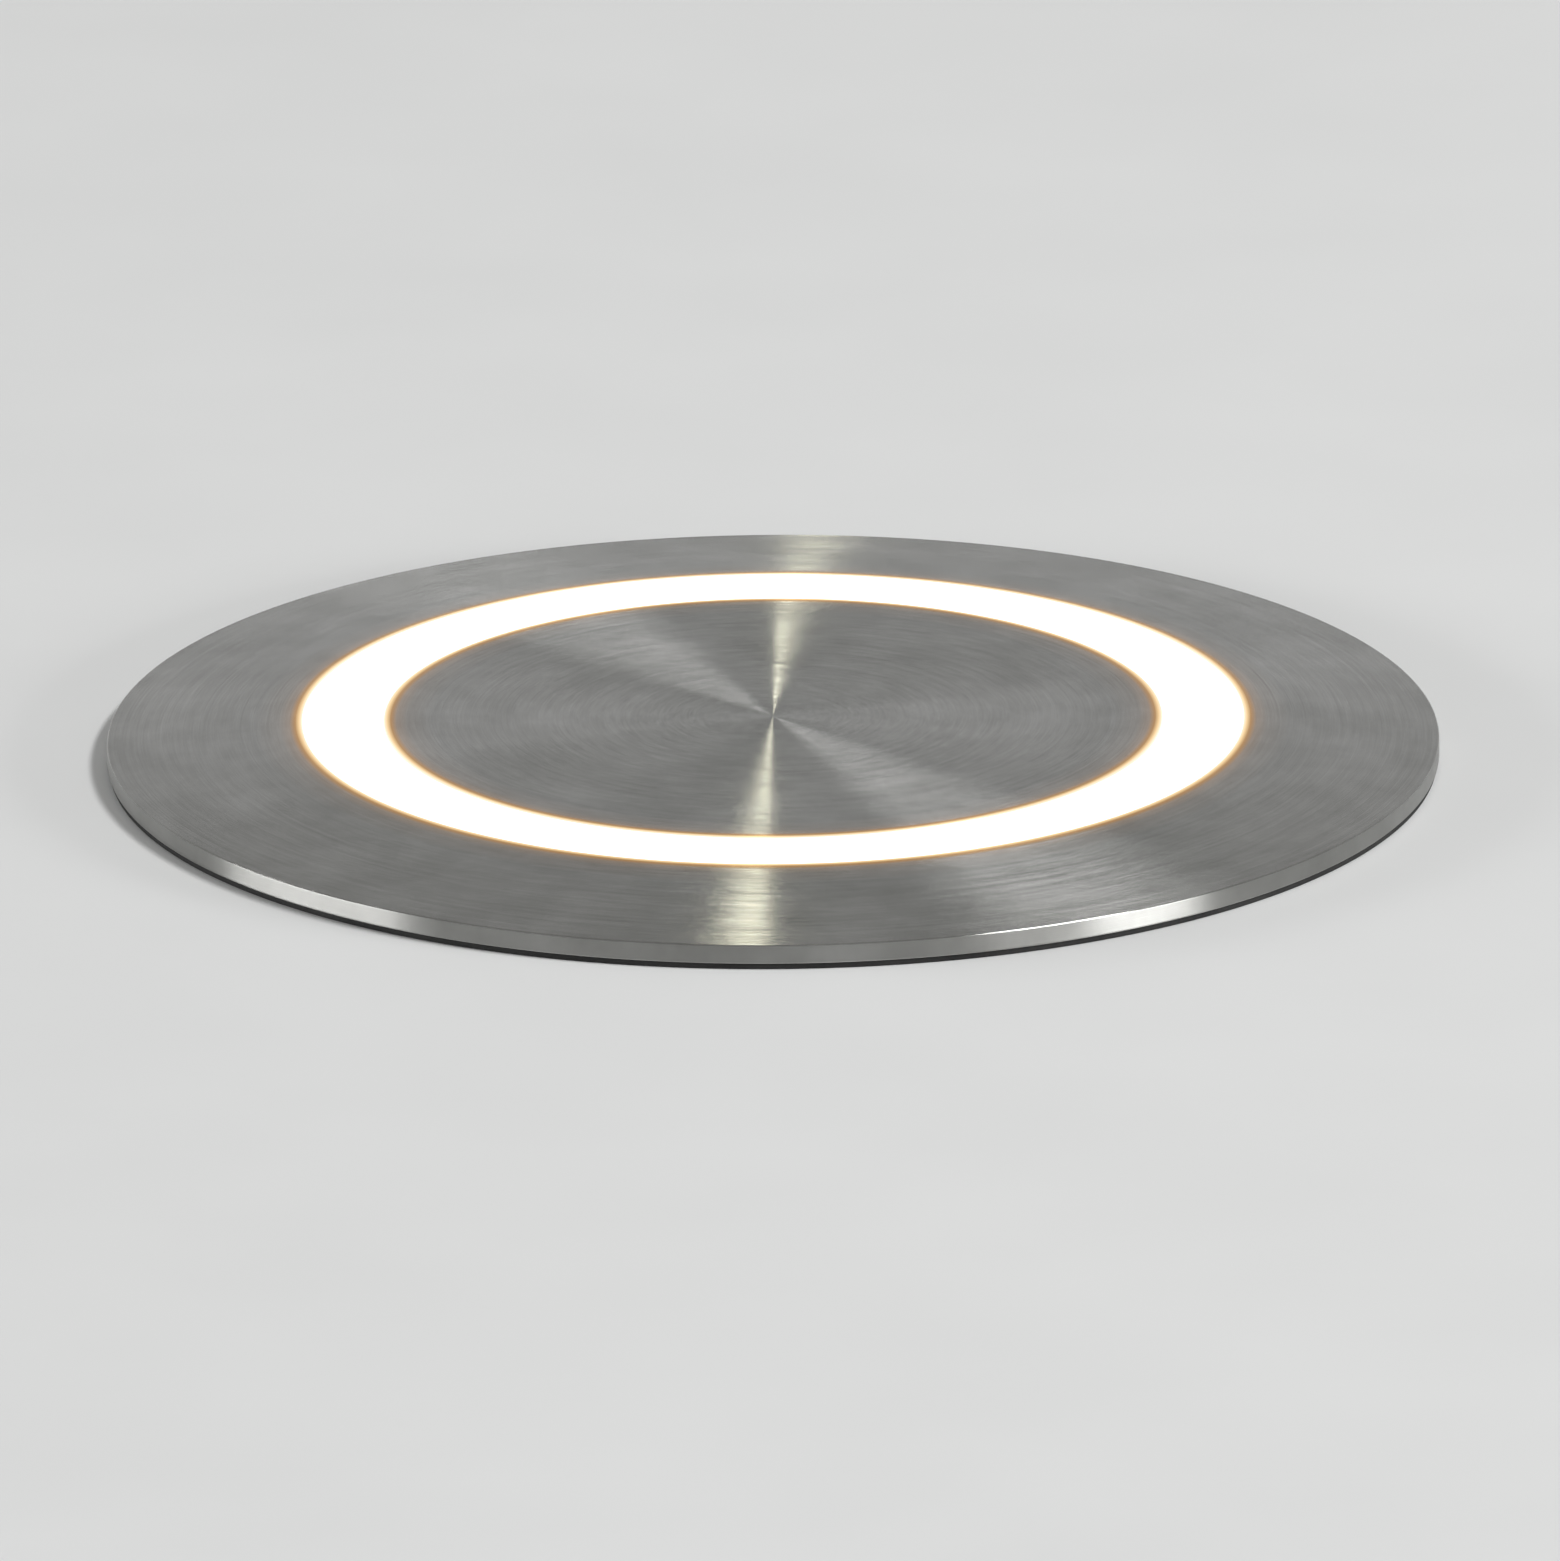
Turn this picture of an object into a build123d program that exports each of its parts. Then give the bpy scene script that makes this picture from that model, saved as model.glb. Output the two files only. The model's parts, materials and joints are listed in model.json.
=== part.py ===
"""In-ground ring light: a stainless face flush with the paving, over a sealed housing in a buried sleeve.

Frame: millimetres, +Z up, origin on the axis at finished ground level, where the gasket meets the paving.
"""

import os
from math import acos, atan2, cos, dist, sin

from build123d import *

# ---- face, seen from above -------------------------------------------------------------
FLANGE_R = 55.0  # outer edge of the stainless face
LIT_OUTER_R = 38.8  # where the trim ring ends and the lit ring starts
LIT_INNER_R = 32.2  # edge of the centre disc
FACE_Z = 3.75  # flat middle of the face, above the ground
RIM_TOP_Z = 2.1  # the trim ring slopes down to here at its rim
GASKET_T = 0.5  # ground gasket between flange and paving
OPAL_GAP = 0.1  # assembly gap on each side of the lit ring

# ---- lamp chamber ----------------------------------------------------------------------
DISC_T = 2.0
WEB_T = 3.5  # diffuser under the centre disc
LAND_Z = 0.3  # underside of the trim ring, where it clamps the diffuser
LENS_GASKET_T = 1.3
SKIRT_R, SKIRT_BORE_R = 45.3, 43.5  # trim ring's threaded skirt
SKIRT_BOTTOM_Z = -9.0
NECK_R = 43.45  # threaded neck of the housing
CHAMBER_R = 39.9
DECK_Z, DECK_T = -12.5, 2.5  # floor that carries the LED board
STUD_R, STUD_END_Z = 2.0, -8.0
STUD_WASHER_T, STUD_NUT_T, STUD_NUT_FLATS = 1.0, 3.2, 7.0
LED_COUNT = 24
BOARD_T, BOARD_BORE_R = 1.6, 26.0
REFLECTOR_FOOT_R, REFLECTOR_TOP_R, REFLECTOR_T = 32.8, 31.6, 1.2
LEAD_Y, LEAD_START_Y = 20.0, 29.0  # the lead's way down through the deck, and its soldered end
LEAD_T, LEAD_WIDTH = 1.2, 2.4

# ---- driver compartment ----------------------------------------------------------------
CAN_R, CAN_BORE_R = 34.0, 31.0
CAN_BOTTOM_Z = -38.0
BASE_FLANGE_R, BASE_FLANGE_T = 39.5, 3.0
BASE_GASKET_T, BASE_COVER_T = 1.0, 3.0
BASE_SCREW_R, BASE_SCREW_ANGLES = 36.5, (54, 126, 234, 306)
BASE_SCREW_HEAD_FLATS, BASE_SCREW_HEAD_T = 5.0, 2.0
RIB_ANGLES = (36, 72, 108, 144)  # one side; the other side mirrors them
RIB_T = 2.0
DRIVER_BOARD_X, DRIVER_BOARD_Y = 42.0, 40.0
SPACER_L, SPACER_FLATS, SPACER_X, SPACER_Y = 5.0, 4.0, 17.5, 16.5

# ---- sprung clips ----------------------------------------------------------------------
PAD_FACE_X = 36.5  # flat pad on the housing that carries the bracket
SHEET_T = 1.0  # bracket sheet
EAR_Y = 6.0  # outside face of each ear
EAR_NOSE_R = 2.3
PIN_X, PIN_Z, PIN_R = 39.65, -20.0, 1.0
PIN_PROUD = 0.4  # staked end outside each ear
PIN_PLAY = 0.05  # running clearance of the leaf on its pin
LEAF_T = 0.8
LEAF_HALF_WIDTH, LEAF_TIP_HALF_WIDTH = 4.8, 3.0
WINDOW_HALF_WIDTH = 2.4  # opening in the leaf for the spring's coil
KNEE_R, KNEE_Z = 2.5, -29.5  # bend of the leaf's middle line where it presses on the sleeve
LEAF_TIP = (43.4, -33.0)  # x and z of the end that turns back in
WALL_CLEARANCE = 0.45  # leaf to sleeve bore, at the leaf's middle
WIRE_R, WIRE_FLATS = 0.35, 6  # wire drawn with six flats
COIL_R, COIL_PITCH, COIL_HALF_TURNS = 1.5, 1.2, 5
LEG_END_Z = -27.0
CLIP_SCREW_Z, CLIP_TAP_R = -29.8, 1.05

# ---- cable gland -----------------------------------------------------------------------
GLAND_THREAD_R, GLAND_BORE_R = 6.0, 3.3
GLAND_HEX_FLATS, GLAND_HEX_T = 15.0, 3.5
GLAND_NECK_R, GLAND_NECK_L = 5.6, 5.0
SEAL_R, SEAL_BORE_R = 4.5, 2.8
SEAL_PROUD = 0.3  # length of seal outside the neck, which the cap squeezes
LOCKNUT_T = 3.0
CAP_NUT_L, CAP_END_L = 9.1, 2.2

# ---- buried sleeve ---------------------------------------------------------------------
SLEEVE_BORE_R = 46.5
SLEEVE_R, SLEEVE_FOOT_R = 49.5, 48.8  # outside wall, with the mould's draft
LIP_R, LIP_T = 53.0, 2.5
SLEEVE_FLOOR_Z, SLEEVE_BOTTOM_Z = -92.0, -95.0
SLEEVE_RIB_R, SLEEVE_RIB_T, SLEEVE_RIB_END_Z = 52.5, 2.5, -86.0
CONDUIT_R, CONDUIT_Z = 10.2, -76.0  # takes 20 mm conduit
CONDUIT_PAD_WIDTH, CONDUIT_PAD_Y = 27.0, (44.0, 50.5)  # flat landings inside and outside each entry
MIDDLE_DRAIN_R = 6.0
DRAIN_R, DRAIN_PITCH_R = 4.0, 28.0  # four smaller drain holes round the middle one

# ---- worked out from the above ---------------------------------------------------------
WEB_TOP_Z = FACE_Z - DISC_T
WEB_BOTTOM_Z = WEB_TOP_Z - WEB_T
SEAT_Z = WEB_BOTTOM_Z - LENS_GASKET_T
DECK_UNDER_Z = DECK_Z - DECK_T
BOARD_TOP_Z = DECK_Z + BOARD_T
DRIVER_TOP_Z = DECK_UNDER_Z - SPACER_L
DRIVER_UNDER_Z = DRIVER_TOP_Z - BOARD_T
BASE_FLANGE_TOP_Z = CAN_BOTTOM_Z + BASE_FLANGE_T
COVER_TOP_Z = CAN_BOTTOM_Z - BASE_GASKET_T
COVER_BOTTOM_Z = COVER_TOP_Z - BASE_COVER_T
GLAND_HEX_BOTTOM_Z = COVER_BOTTOM_Z - GLAND_HEX_T
GLAND_NECK_END_Z = GLAND_HEX_BOTTOM_Z - GLAND_NECK_L
SEAL_END_Z = GLAND_NECK_END_Z - SEAL_PROUD
CAP_TOP_Z = GLAND_HEX_BOTTOM_Z - 0.4
CAP_BOTTOM_Z = CAP_TOP_Z - CAP_NUT_L
BRACKET_FACE_X = PAD_FACE_X + SHEET_T
EYE_BORE_R = PIN_R + PIN_PLAY
LEAF_START = (PIN_X + EYE_BORE_R + LEAF_T / 2, PIN_Z)
KNEE = (SLEEVE_BORE_R - WALL_CLEARANCE - LEAF_T / 2 - KNEE_R, KNEE_Z)
HANGING = (Align.CENTER, Align.CENTER, Align.MAX)


# ---- shapes that many pieces share -----------------------------------------------------
def turned(*outline):
    """Revolves a closed (radius, height) outline about the Z axis."""
    return revolve(make_face(Plane.XZ * Polyline(*outline, close=True)), Axis.Z)


def tube(outer, bore, top, bottom):
    return turned((bore, bottom), (outer, bottom), (outer, top), (bore, top))


def rod(radius, top, bottom):
    return Pos(0, 0, bottom) * extrude(Circle(radius), top - bottom)


def hexagon(flats, top, bottom):
    return Pos(0, 0, bottom) * extrude(RegularPolygon(flats / 2, 6, major_radius=False), top - bottom)


def ring_of(shape, radius, angles):
    """Copies of a shape set out on a circle, each turned to face outwards."""
    return [Rot(0, 0, angle) * Pos(radius, 0, 0) * shape for angle in angles]


def evenly(count, start=0.0):
    return [start + 360 * i / count for i in range(count)]


def both_sides(shape):
    """The piece on the +X side and its twin, turned half round onto the -X side."""
    return [shape, Rot(0, 0, 180) * shape]


def screw(head, shank_r, length):
    """Joins a shank to a head that lies under z = 0."""
    return head + rod(shank_r, length, 0)


# ---- stainless face and diffuser -------------------------------------------------------
def trim_ring():
    """Coned flange with a sharp rim; its skirt screws down over the housing's neck."""
    return turned(
        (LIT_OUTER_R, FACE_Z), (FLANGE_R, RIM_TOP_Z), (FLANGE_R, GASKET_T),
        (SKIRT_R, GASKET_T), (SKIRT_R, SKIRT_BOTTOM_Z), (SKIRT_BORE_R, SKIRT_BOTTOM_Z),
        (SKIRT_BORE_R, LAND_Z), (LIT_OUTER_R, LAND_Z),
    )


def centre_disc():
    """Flat disc with the stud that is welded under its middle."""
    return rod(LIT_INNER_R, FACE_Z, WEB_TOP_Z) + rod(STUD_R, WEB_TOP_Z, STUD_END_Z)


def diffuser():
    """One opal moulding: raised ring that shows, web under the disc, flange under the trim ring."""
    flange_r = SKIRT_BORE_R - 1.0
    hole_r = STUD_R + OPAL_GAP
    ring_outer, ring_inner = LIT_OUTER_R - OPAL_GAP, LIT_INNER_R + OPAL_GAP
    return turned(
        (hole_r, WEB_BOTTOM_Z), (flange_r, WEB_BOTTOM_Z), (flange_r, LAND_Z), (ring_outer, LAND_Z),
        (ring_outer, FACE_Z), (ring_inner, FACE_Z), (ring_inner, WEB_TOP_Z), (hole_r, WEB_TOP_Z),
    )


def ground_gasket():
    return tube(FLANGE_R - 0.15, SKIRT_R + 0.3, GASKET_T, 0)


def lens_gasket():
    return tube(NECK_R - 0.5, CHAMBER_R + 0.3, WEB_BOTTOM_Z, SEAT_Z)


def stud_sealing_washer():
    return tube(5.0, STUD_R + 0.05, WEB_BOTTOM_Z, WEB_BOTTOM_Z - STUD_WASHER_T)


def stud_nut():
    top = WEB_BOTTOM_Z - STUD_WASHER_T
    return hexagon(STUD_NUT_FLATS, top, top - STUD_NUT_T) - rod(STUD_R + 0.05, top, top - STUD_NUT_T)


# ---- housing ---------------------------------------------------------------------------
def cooling_rib():
    """Gusset from the deck's overhang down to the base flange, rooted in the can's wall."""
    root_r, top_r, foot_r = CAN_R - 1, NECK_R - 1, BASE_FLANGE_R - 0.5
    outline = Polyline(
        (root_r, DECK_UNDER_Z), (top_r, DECK_UNDER_Z), (top_r, DECK_UNDER_Z - 2),
        (foot_r, BASE_FLANGE_TOP_Z), (root_r, BASE_FLANGE_TOP_Z), close=True,
    )
    return extrude(Plane.XZ * make_face(outline), RIB_T / 2, both=True)


def clip_pad():
    """Flat boss on the +X side of the can, the full height between deck and base flange."""
    height = DECK_UNDER_Z - BASE_FLANGE_TOP_Z
    boss = Box(PAD_FACE_X - CAN_BORE_R, 2 * EAR_Y + 1, height, align=(Align.MAX, Align.CENTER, Align.MAX))
    return Pos(PAD_FACE_X, 0, DECK_UNDER_Z) * boss - rod(CAN_BORE_R + 1, DECK_UNDER_Z, BASE_FLANGE_TOP_Z)


def clip_screw_tap():
    """Blind hole into the pad's face."""
    return Pos(PAD_FACE_X, 0, CLIP_SCREW_Z) * Rot(0, -90, 0) * extrude(Circle(CLIP_TAP_R), 3.4)


def housing():
    """Cast can, open above for the lamp and below for the driver, with a deck between them."""
    casting = turned(
        (CHAMBER_R, SEAT_Z), (NECK_R, SEAT_Z), (NECK_R, DECK_UNDER_Z), (CAN_R, DECK_UNDER_Z),
        (CAN_R, BASE_FLANGE_TOP_Z), (BASE_FLANGE_R, BASE_FLANGE_TOP_Z), (BASE_FLANGE_R, CAN_BOTTOM_Z),
        (CAN_BORE_R, CAN_BOTTOM_Z), (CAN_BORE_R, DECK_UNDER_Z), (0, DECK_UNDER_Z), (0, DECK_Z),
        (CHAMBER_R, DECK_Z),
    )
    for turn in (0, 180):
        casting += [Rot(0, 0, angle + turn) * cooling_rib() for angle in RIB_ANGLES]
    casting += both_sides(clip_pad())
    casting -= Pos(0, LEAD_Y, 0) * rod(3.2, DECK_Z, DECK_UNDER_Z)
    casting -= ring_of(rod(1.55, BASE_FLANGE_TOP_Z, CAN_BOTTOM_Z), BASE_SCREW_R, BASE_SCREW_ANGLES)
    return casting - both_sides(clip_screw_tap())


# ---- lamp ------------------------------------------------------------------------------
def led_board():
    """Aluminium-core ring, bonded to the deck with thermal adhesive."""
    return tube(CHAMBER_R - 0.3, BOARD_BORE_R, BOARD_TOP_Z, DECK_Z)


def led_chips():
    chip = Pos(0, 0, BOARD_TOP_Z) * Box(2.8, 3.5, 0.8, align=(Align.CENTER, Align.CENTER, Align.MIN))
    return ring_of(chip, (LIT_OUTER_R + LIT_INNER_R) / 2, evenly(LED_COUNT, 180 / LED_COUNT))


def reflector():
    """White cone, the light channel's inner wall, held between the LED board and the diffuser."""
    return turned(
        (REFLECTOR_FOOT_R - REFLECTOR_T, BOARD_TOP_Z), (REFLECTOR_FOOT_R, BOARD_TOP_Z),
        (REFLECTOR_TOP_R, WEB_BOTTOM_Z), (REFLECTOR_TOP_R - REFLECTOR_T, WEB_BOTTOM_Z),
    )


def led_lead():
    """Flat two-core lead: along the LED board, over its edge and down through the deck to the driver."""
    lay_z = BOARD_TOP_Z + LEAD_T / 2
    path = FilletPolyline((0, LEAD_START_Y, lay_z), (0, LEAD_Y, lay_z), (0, LEAD_Y, DRIVER_TOP_Z), radius=3)
    section = Plane(path @ 0, x_dir=(1, 0, 0), z_dir=path % 0) * Rectangle(LEAD_WIDTH, LEAD_T)
    return sweep(section, path)


# ---- driver ----------------------------------------------------------------------------
def driver_board():
    return Pos(0, 0, DRIVER_TOP_Z) * Box(DRIVER_BOARD_X, DRIVER_BOARD_Y, BOARD_T, align=HANGING)


def driver_spacers():
    """Hexagonal stand-offs pressed into the board's corners, their far ends against the deck."""
    spacer = hexagon(SPACER_FLATS, DECK_UNDER_Z, DRIVER_TOP_Z)
    return [Pos(x, y, 0) * spacer for x in (-SPACER_X, SPACER_X) for y in (-SPACER_Y, SPACER_Y)]


def driver_inductor():
    """Ferrite drum between two square plates, hanging under the board."""
    side, plate_t, drum_r, drum_l = 12.0, 1.5, 4.6, 4.5
    plate = Box(side, side, plate_t, align=HANGING)
    drum = Pos(0, 0, -plate_t) * extrude(Circle(drum_r), -drum_l)
    return Pos(-13, -6, DRIVER_UNDER_Z) * (plate + drum + Pos(0, 0, -plate_t - drum_l) * plate)


def driver_capacitors():
    """Two round cans hanging from the board."""
    sizes_and_places = ((4.0, 10.5, 12.0, 11.0), (3.2, 9.0, -13.0, 9.0))
    return [Pos(x, y, DRIVER_UNDER_Z) * extrude(Circle(r), -length) for r, length, x, y in sizes_and_places]


def driver_chips():
    sizes_and_places = ((5.0, 4.0, 1.6, 0.0, 11.0), (6.5, 5.0, 2.3, 0.0, -14.0), (4.0, 3.0, 1.2, -4.0, 17.0))
    return [Pos(x, y, DRIVER_UNDER_Z) * Box(w, d, h, align=HANGING) for w, d, h, x, y in sizes_and_places]


def terminal_block():
    """Two-way block with side mouths for the supply cores."""
    width, depth, height, pitch = 10.4, 8.0, 9.5, 5.0
    block = Box(width, depth, height, align=HANGING)
    block = chamfer(block.edges().filter_by(Axis.X).sort_by(Axis.Z)[:2], 1.2)
    mouth = Rot(90, 0, 0) * extrude(Circle(1.4), depth / 2)
    block -= [Pos(x, 0, -height / 2) * mouth for x in (-pitch / 2, pitch / 2)]
    return Pos(14, -9, DRIVER_UNDER_Z) * Rot(0, 0, 90) * block


# ---- base and gland --------------------------------------------------------------------
def base_gasket():
    """Flat ring inside the circle of screws."""
    return tube(CAN_R + 0.8, CAN_BORE_R + 0.2, CAN_BOTTOM_Z, COVER_TOP_Z)


def base_cover():
    cover = tube(BASE_FLANGE_R, GLAND_THREAD_R + 0.05, COVER_TOP_Z, COVER_BOTTOM_Z)
    return cover - ring_of(rod(1.6, COVER_TOP_Z, COVER_BOTTOM_Z), BASE_SCREW_R, BASE_SCREW_ANGLES)


def base_screws():
    head = hexagon(BASE_SCREW_HEAD_FLATS, 0, -BASE_SCREW_HEAD_T)
    length = BASE_COVER_T + BASE_GASKET_T + BASE_FLANGE_T - 0.3
    return ring_of(Pos(0, 0, COVER_BOTTOM_Z) * screw(head, 1.5, length), BASE_SCREW_R, BASE_SCREW_ANGLES)


def gland_body():
    """Thread through the cover, spanner hexagon, and a neck whose counterbore holds the rubber seal."""
    top = COVER_TOP_Z + LOCKNUT_T + 0.5
    body = rod(GLAND_THREAD_R, top, COVER_BOTTOM_Z)
    body += hexagon(GLAND_HEX_FLATS, COVER_BOTTOM_Z, GLAND_HEX_BOTTOM_Z)
    body += rod(GLAND_NECK_R, GLAND_HEX_BOTTOM_Z, GLAND_NECK_END_Z)
    body -= rod(GLAND_BORE_R, top, GLAND_NECK_END_Z)
    return body - rod(SEAL_R, GLAND_HEX_BOTTOM_Z, GLAND_NECK_END_Z)


def gland_locknut():
    top = COVER_TOP_Z + LOCKNUT_T
    return hexagon(GLAND_HEX_FLATS, top, COVER_TOP_Z) - rod(GLAND_THREAD_R + 0.05, top, COVER_TOP_Z)


def gland_seal():
    return tube(SEAL_R, SEAL_BORE_R, GLAND_HEX_BOTTOM_Z, SEAL_END_Z)


def gland_cap_nut():
    """Hexagonal cap with a tapered end round the cable's way out."""
    flats_end_z = CAP_BOTTOM_Z + CAP_END_L
    cap = hexagon(GLAND_HEX_FLATS - 1, CAP_TOP_Z, flats_end_z)
    cap += turned((0, flats_end_z), (6.8, flats_end_z), (4.8, CAP_BOTTOM_Z), (0, CAP_BOTTOM_Z))
    return cap - rod(GLAND_NECK_R + 0.05, CAP_TOP_Z, SEAL_END_Z) - rod(GLAND_BORE_R, SEAL_END_Z, CAP_BOTTOM_Z)


# ---- sprung clips, each drawn on the +X side -------------------------------------------
def clip_bracket():
    """Sheet folded into a back plate and two ears that hold the pin."""
    plate_top, plate_bottom = PIN_Z + EAR_NOSE_R, CLIP_SCREW_Z - 2.5
    plate = Pos(PAD_FACE_X, 0, plate_top) * Box(
        SHEET_T, 2 * EAR_Y, plate_top - plate_bottom, align=(Align.MIN, Align.CENTER, Align.MAX)
    )
    nose = Pos(PIN_X, PIN_Z) * Circle(EAR_NOSE_R)
    root = Line((PAD_FACE_X, plate_top), (PAD_FACE_X, PIN_Z - 6))
    ear = extrude(Plane.XZ * make_hull([*nose.edges(), *root.edges()]), SHEET_T)
    bracket = plate + Pos(0, EAR_Y, 0) * ear + Pos(0, SHEET_T - EAR_Y, 0) * ear
    pin_hole = Pos(PIN_X, 0, PIN_Z) * Rot(90, 0, 0) * extrude(Circle(PIN_R), EAR_Y, both=True)
    screw_hole = Pos(PAD_FACE_X, 0, CLIP_SCREW_Z) * Rot(0, 90, 0) * extrude(Circle(CLIP_TAP_R + 0.1), SHEET_T)
    return bracket - pin_hole - screw_hole


def clip_screw():
    head = rod(2.0, 0, -1.3)
    return Pos(BRACKET_FACE_X, 0, CLIP_SCREW_Z) * Rot(0, -90, 0) * screw(head, 1.0, SHEET_T + 3.2)


def clip_pin():
    """Pin staked in both ears."""
    return Pos(PIN_X, 0, PIN_Z) * Rot(90, 0, 0) * extrude(Circle(PIN_R), EAR_Y + PIN_PROUD, both=True)


def touch_point(point, centre, radius, side):
    """Where the line from a point just touches a circle, on the side named by +1 or -1."""
    towards = atan2(point[1] - centre[1], point[0] - centre[0])
    angle = towards + side * acos(radius / dist(point, centre))
    return centre[0] + radius * cos(angle), centre[1] + radius * sin(angle)


def clip_leaf():
    """Rolled eyes on the pin, a sheet that runs down and out, a round knee, and an end turned back in."""
    knee_in = touch_point(LEAF_START, KNEE, KNEE_R, -1)
    knee_out = touch_point(LEAF_TIP, KNEE, KNEE_R, 1)
    knee_face = (KNEE[0] + KNEE_R, KNEE[1])
    knee = ThreePointArc(knee_in, knee_face, knee_out)
    middle = Line(LEAF_START, knee_in) + knee + Line(knee_out, LEAF_TIP)
    side_view = make_face(offset(middle, LEAF_T / 2, side=Side.BOTH).edges())
    sheet = extrude(Plane.XZ * side_view, LEAF_HALF_WIDTH, both=True)
    across = Rot(90, 0, 0)
    eyes = Pos(PIN_X, 0, PIN_Z) * across * extrude(Circle(EYE_BORE_R + LEAF_T), LEAF_HALF_WIDTH, both=True)
    top_z, shoulder_z, end_z = PIN_Z + 3, PIN_Z - 3, LEAF_TIP[1] - 1
    front_view = Polyline(
        (-LEAF_HALF_WIDTH, top_z), (LEAF_HALF_WIDTH, top_z), (LEAF_HALF_WIDTH, shoulder_z),
        (LEAF_TIP_HALF_WIDTH, end_z), (-LEAF_TIP_HALF_WIDTH, end_z), (-LEAF_HALF_WIDTH, shoulder_z),
        close=True,
    )
    envelope = Pos(PAD_FACE_X, 0, 0) * extrude(Plane.YZ * make_face(front_view), SLEEVE_BORE_R - PAD_FACE_X)
    window = Pos(PIN_X, 0, top_z) * Box(12, 2 * WINDOW_HALF_WIDTH, 6, align=HANGING)
    bore = Pos(PIN_X, 0, PIN_Z) * across * extrude(Circle(EYE_BORE_R), LEAF_HALF_WIDTH, both=True)
    return ((eyes + sheet) & envelope) - window - bore


def coil_point(step):
    """Centre of the wire after a number of half turns, alternately on the leaf's side and the housing's."""
    side = 1 if step % 2 == 0 else -1
    return Vector(PIN_X + side * COIL_R, (step - COIL_HALF_TURNS / 2) * COIL_PITCH / 2, PIN_Z)


def coil_half_turn(step):
    """Half circle between two coil points; it passes over the pin on even steps and under it on odd ones."""
    start, end = coil_point(step), coil_point(step + 1)
    reach = (end - start).length / 2
    over = 1 if step % 2 == 0 else -1
    return ThreePointArc(start, (start + end) / 2 + Vector(0, 0, over * reach), end)


def clip_spring():
    """Torsion spring round the pin: one leg lies along the leaf's inner face, the other on the bracket."""
    knee_in = touch_point(LEAF_START, KNEE, KNEE_R, -1)
    length = dist(LEAF_START, knee_in)
    along = ((knee_in[0] - LEAF_START[0]) / length, (knee_in[1] - LEAF_START[1]) / length)
    stand_off = LEAF_T / 2 + WIRE_R + 0.05
    line_start = (LEAF_START[0] + along[1] * stand_off, LEAF_START[1] - along[0] * stand_off)

    first, last = coil_point(0), coil_point(COIL_HALF_TURNS)
    bend_z = line_start[1] + along[1] / along[0] * (first.X - line_start[0])
    leg_end_x = line_start[0] + along[0] / along[1] * (LEG_END_Z - line_start[1])
    leaf_leg = FilletPolyline((leg_end_x, first.Y, LEG_END_Z), (first.X, first.Y, bend_z), first, radius=1.5)
    rest_leg = FilletPolyline(
        last, (last.X, last.Y, PIN_Z - 2.5), (BRACKET_FACE_X + WIRE_R, last.Y, LEG_END_Z), radius=3
    )
    coil = [coil_half_turn(step) for step in range(COIL_HALF_TURNS)]
    path = Wire([*leaf_leg.edges(), *coil, *rest_leg.edges()])
    section = Plane(path @ 0, z_dir=path % 0) * RegularPolygon(WIRE_R, WIRE_FLATS)
    return sweep(section, path)


def least_coil_gap():
    """Smallest space between neighbouring turns, measured on points along the coil."""
    points = []
    for step in range(COIL_HALF_TURNS):
        arc = coil_half_turn(step)
        points += [(step + i / 12, arc @ (i / 12)) for i in range(12)]
    return min(
        (a - b).length for turn_a, a in points for turn_b, b in points if turn_b - turn_a >= 1.5
    ) - 2 * WIRE_R


# ---- buried sleeve ---------------------------------------------------------------------
def sleeve_rib():
    """Outside rib that keys the sleeve into mortar; its lower end is sloped off."""
    root_r = SLEEVE_FOOT_R - 1
    outline = Polyline(
        (root_r, -LIP_T), (SLEEVE_RIB_R, -LIP_T), (SLEEVE_RIB_R, SLEEVE_RIB_END_Z + 4),
        (root_r, SLEEVE_RIB_END_Z), close=True,
    )
    return extrude(Plane.XZ * make_face(outline), SLEEVE_RIB_T / 2, both=True)


def mounting_sleeve():
    """Pot with a flush lip, a straight bore for the clips, two conduit entries and drain holes."""
    pot = turned(
        (0, SLEEVE_BOTTOM_Z), (SLEEVE_FOOT_R, SLEEVE_BOTTOM_Z), (SLEEVE_R, -LIP_T), (LIP_R, -LIP_T),
        (LIP_R, 0), (SLEEVE_BORE_R, 0), (SLEEVE_BORE_R, SLEEVE_FLOOR_Z), (0, SLEEVE_FLOOR_Z),
    )
    pot += ring_of(sleeve_rib(), 0, evenly(8, 22.5))
    inner_y, outer_y = CONDUIT_PAD_Y
    pad = Pos(0, (inner_y + outer_y) / 2, CONDUIT_Z) * Box(
        CONDUIT_PAD_WIDTH, outer_y - inner_y, CONDUIT_PAD_WIDTH
    )
    pot += both_sides(pad)
    pot -= Pos(0, 0, CONDUIT_Z) * Rot(90, 0, 0) * extrude(Circle(CONDUIT_R), SLEEVE_RIB_R, both=True)
    pot -= rod(MIDDLE_DRAIN_R, SLEEVE_FLOOR_Z, SLEEVE_BOTTOM_Z)
    return pot - ring_of(rod(DRAIN_R, SLEEVE_FLOOR_Z, SLEEVE_BOTTOM_Z), DRAIN_PITCH_R, evenly(4, 45))


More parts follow.
